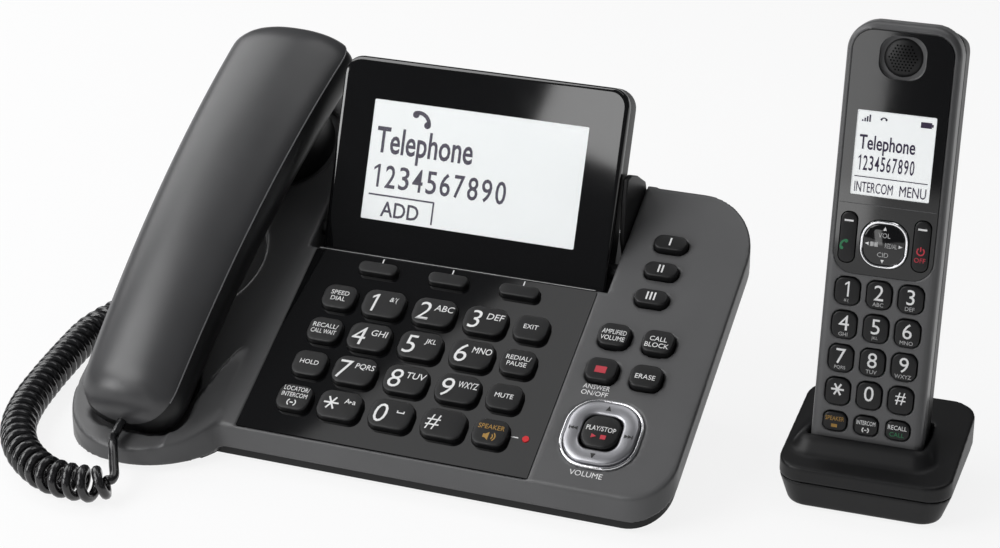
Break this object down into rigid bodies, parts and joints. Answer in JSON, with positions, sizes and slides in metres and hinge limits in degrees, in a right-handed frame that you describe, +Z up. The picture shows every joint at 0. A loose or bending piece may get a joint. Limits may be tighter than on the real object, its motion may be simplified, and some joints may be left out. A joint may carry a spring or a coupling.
{
  "type": "desk telephone set with cordless handset",
  "caption": "Sloping desk telephone with corded handset on a curly cord, tilting display and keys, with a cordless handset standing in its charger.",
  "frame": {"origin": "middle of the set's box on the table, without the curly cord", "axes": "+X to the right seen from the front, +Y to the back, +Z up"},
  "size_m": [0.343, 0.1932, 0.1619],
  "materials": {
    "satin_grey": "satin charcoal moulding",
    "black_case": "fine matt moulding",
    "gloss_black": "polished",
    "key_black": "soft satin key caps",
    "board_green": "solder resist",
    "rubber_mat": "moulded",
    "foot_rubber": "matt",
    "speaker_metal": "pressed basket",
    "screw_steel": "plated",
    "silver_satin": "satin plated",
    "chrome_trim": "plated",
    "red_lens": "clear red",
    "lcd_white": "backlit",
    "clear_pane": "polished",
    "cord_black": "glossy jacket",
    "contact_brass": "plated",
    "cell_metal": "sleeved"
  },
  "bodies": {
    "base_unit": {"base_upper_case": "satin_grey", "base_lower_case": "black_case", "keypad_panel": "gloss_black", "base_circuit_board": "board_green", "base_key_mat": "rubber_mat", "base_loudspeaker": "speaker_metal", "base_feet": "foot_rubber", "base_screws": "screw_steel", "navigator_trim": "chrome_trim", "speakerphone_lamp": "red_lens", "base_sockets": "black_case", "coil_cord": "cord_black", "cord_plug_base": "gloss_black", "charger_upper_case": "black_case", "charger_lower_case": "black_case", "charger_contacts": "contact_brass", "charger_feet": "foot_rubber"},
    "corded_handset": {"handset_outer_shell": "satin_grey", "handset_inner_shell": "black_case", "handset_receiver": "black_case", "handset_microphone": "black_case", "cord_plug_handset": "gloss_black"},
    "hook": {"hook_switch": "black_case"},
    "display_head": {"display_front_frame": "gloss_black", "display_window": "clear_pane", "display_lcd": "lcd_white", "display_rear_cover": "black_case", "display_hinge_pins": "screw_steel"},
    "cordless_handset": {"cordless_front_case": "satin_grey", "cordless_rear_case": "black_case", "cordless_window": "gloss_black", "cordless_lcd": "lcd_white", "cordless_circuit_board": "board_green", "cordless_battery_cover": "black_case", "cordless_batteries": "cell_metal", "cordless_earpiece": "black_case"},
    "dial_key_1": {"dial_key_1": "key_black"},
    "dial_key_2": {"dial_key_2": "key_black"},
    "dial_key_3": {"dial_key_3": "key_black"},
    "dial_key_4": {"dial_key_4": "key_black"},
    "dial_key_5": {"dial_key_5": "key_black"},
    "dial_key_6": {"dial_key_6": "key_black"},
    "dial_key_7": {"dial_key_7": "key_black"},
    "dial_key_8": {"dial_key_8": "key_black"},
    "dial_key_9": {"dial_key_9": "key_black"},
    "dial_key_star": {"dial_key_star": "key_black"},
    "dial_key_0": {"dial_key_0": "key_black"},
    "dial_key_hash": {"dial_key_hash": "key_black"},
    "left_function_keys": {"left_function_keys": "key_black"},
    "right_function_keys": {"right_function_keys": "key_black"},
    "soft_keys": {"soft_keys": "key_black"},
    "one_touch_keys": {"one_touch_keys": "key_black"},
    "message_keys": {"message_keys": "key_black"},
    "navigator_key": {"navigator_key": "silver_satin"},
    "play_stop_key": {"play_stop_key": "key_black"},
    "cordless_dial_keys": {"cordless_dial_keys": "key_black"},
    "cordless_talk_key": {"cordless_talk_key": "key_black"},
    "cordless_off_key": {"cordless_off_key": "key_black"},
    "cordless_navigator": {"cordless_navigator": "chrome_trim"},
    "cordless_bottom_keys": {"cordless_bottom_keys": "key_black"}
  },
  "joints": [
    {"name": "handset_lift", "type": "slide", "parent": "base_unit", "child": "corded_handset", "axis": [0, -0.4848, 0.8746], "range_m": [0, 0.08], "deforming": ["coil_cord"]},
    {"name": "hook_rise", "type": "slide", "parent": "base_unit", "child": "hook", "axis": [0, -0.4848, 0.8746], "range_m": [0, 0.004]},
    {"name": "display_tilt", "type": "hinge", "parent": "base_unit", "child": "display_head", "pos_m": [-0.0345, 0.02476, 0.05475], "axis": [1, 0, 0], "range_deg": [-40, 5]},
    {"name": "cordless_lift", "type": "slide", "parent": "base_unit", "child": "cordless_handset", "axis": [-0.0045, 0.1736, 0.9848], "range_m": [0, 0.07]},
    {"name": "dial_press_1", "type": "slide", "parent": "base_unit", "child": "dial_key_1", "axis": [0, 0.4848, -0.8746], "range_m": [0, 0.001], "stiffness_N_per_m": 400},
    {"name": "dial_press_2", "type": "slide", "parent": "base_unit", "child": "dial_key_2", "axis": [0, 0.4848, -0.8746], "range_m": [0, 0.001], "stiffness_N_per_m": 400},
    {"name": "dial_press_3", "type": "slide", "parent": "base_unit", "child": "dial_key_3", "axis": [0, 0.4848, -0.8746], "range_m": [0, 0.001], "stiffness_N_per_m": 400},
    {"name": "dial_press_4", "type": "slide", "parent": "base_unit", "child": "dial_key_4", "axis": [0, 0.4848, -0.8746], "range_m": [0, 0.001], "stiffness_N_per_m": 400},
    {"name": "dial_press_5", "type": "slide", "parent": "base_unit", "child": "dial_key_5", "axis": [0, 0.4848, -0.8746], "range_m": [0, 0.001], "stiffness_N_per_m": 400},
    {"name": "dial_press_6", "type": "slide", "parent": "base_unit", "child": "dial_key_6", "axis": [0, 0.4848, -0.8746], "range_m": [0, 0.001], "stiffness_N_per_m": 400},
    {"name": "dial_press_7", "type": "slide", "parent": "base_unit", "child": "dial_key_7", "axis": [0, 0.4848, -0.8746], "range_m": [0, 0.001], "stiffness_N_per_m": 400},
    {"name": "dial_press_8", "type": "slide", "parent": "base_unit", "child": "dial_key_8", "axis": [0, 0.4848, -0.8746], "range_m": [0, 0.001], "stiffness_N_per_m": 400},
    {"name": "dial_press_9", "type": "slide", "parent": "base_unit", "child": "dial_key_9", "axis": [0, 0.4848, -0.8746], "range_m": [0, 0.001], "stiffness_N_per_m": 400},
    {"name": "dial_press_star", "type": "slide", "parent": "base_unit", "child": "dial_key_star", "axis": [0, 0.4848, -0.8746], "range_m": [0, 0.001], "stiffness_N_per_m": 400},
    {"name": "dial_press_0", "type": "slide", "parent": "base_unit", "child": "dial_key_0", "axis": [0, 0.4848, -0.8746], "range_m": [0, 0.001], "stiffness_N_per_m": 400},
    {"name": "dial_press_hash", "type": "slide", "parent": "base_unit", "child": "dial_key_hash", "axis": [0, 0.4848, -0.8746], "range_m": [0, 0.001], "stiffness_N_per_m": 400},
    {"name": "left_function_press", "type": "slide", "parent": "base_unit", "child": "left_function_keys", "axis": [0, 0.4848, -0.8746], "range_m": [0, 0.001], "stiffness_N_per_m": 400},
    {"name": "right_function_press", "type": "slide", "parent": "base_unit", "child": "right_function_keys", "axis": [0, 0.4848, -0.8746], "range_m": [0, 0.001], "stiffness_N_per_m": 400},
    {"name": "soft_press", "type": "slide", "parent": "base_unit", "child": "soft_keys", "axis": [0, 0.4848, -0.8746], "range_m": [0, 0.001], "stiffness_N_per_m": 400},
    {"name": "one_touch_press", "type": "slide", "parent": "base_unit", "child": "one_touch_keys", "axis": [0, 0.4848, -0.8746], "range_m": [0, 0.001], "stiffness_N_per_m": 400},
    {"name": "message_press", "type": "slide", "parent": "base_unit", "child": "message_keys", "axis": [0, 0.4848, -0.8746], "range_m": [0, 0.001], "stiffness_N_per_m": 400},
    {"name": "navigator_press", "type": "slide", "parent": "base_unit", "child": "navigator_key", "axis": [0, 0.4848, -0.8746], "range_m": [0, 0.001], "stiffness_N_per_m": 400},
    {"name": "play_stop_press", "type": "slide", "parent": "base_unit", "child": "play_stop_key", "axis": [0, 0.4848, -0.8746], "range_m": [0, 0.001], "stiffness_N_per_m": 400},
    {"name": "cordless_dial_press", "type": "slide", "parent": "cordless_handset", "child": "cordless_dial_keys", "axis": [-0.0258, 0.9845, -0.1736], "range_m": [0, 0.0007], "stiffness_N_per_m": 400},
    {"name": "cordless_talk_press", "type": "slide", "parent": "cordless_handset", "child": "cordless_talk_key", "axis": [-0.0258, 0.9845, -0.1736], "range_m": [0, 0.0007], "stiffness_N_per_m": 400},
    {"name": "cordless_off_press", "type": "slide", "parent": "cordless_handset", "child": "cordless_off_key", "axis": [-0.0258, 0.9845, -0.1736], "range_m": [0, 0.0007], "stiffness_N_per_m": 400},
    {"name": "cordless_navigator_press", "type": "slide", "parent": "cordless_handset", "child": "cordless_navigator", "axis": [-0.0258, 0.9845, -0.1736], "range_m": [0, 0.0007], "stiffness_N_per_m": 400},
    {"name": "cordless_bottom_press", "type": "slide", "parent": "cordless_handset", "child": "cordless_bottom_keys", "axis": [-0.0258, 0.9845, -0.1736], "range_m": [0, 0.0007], "stiffness_N_per_m": 400}
  ],
  "couplings": [
    {"joint": "hook_rise", "follows": "handset_lift", "ratio": 0.05}
  ]
}
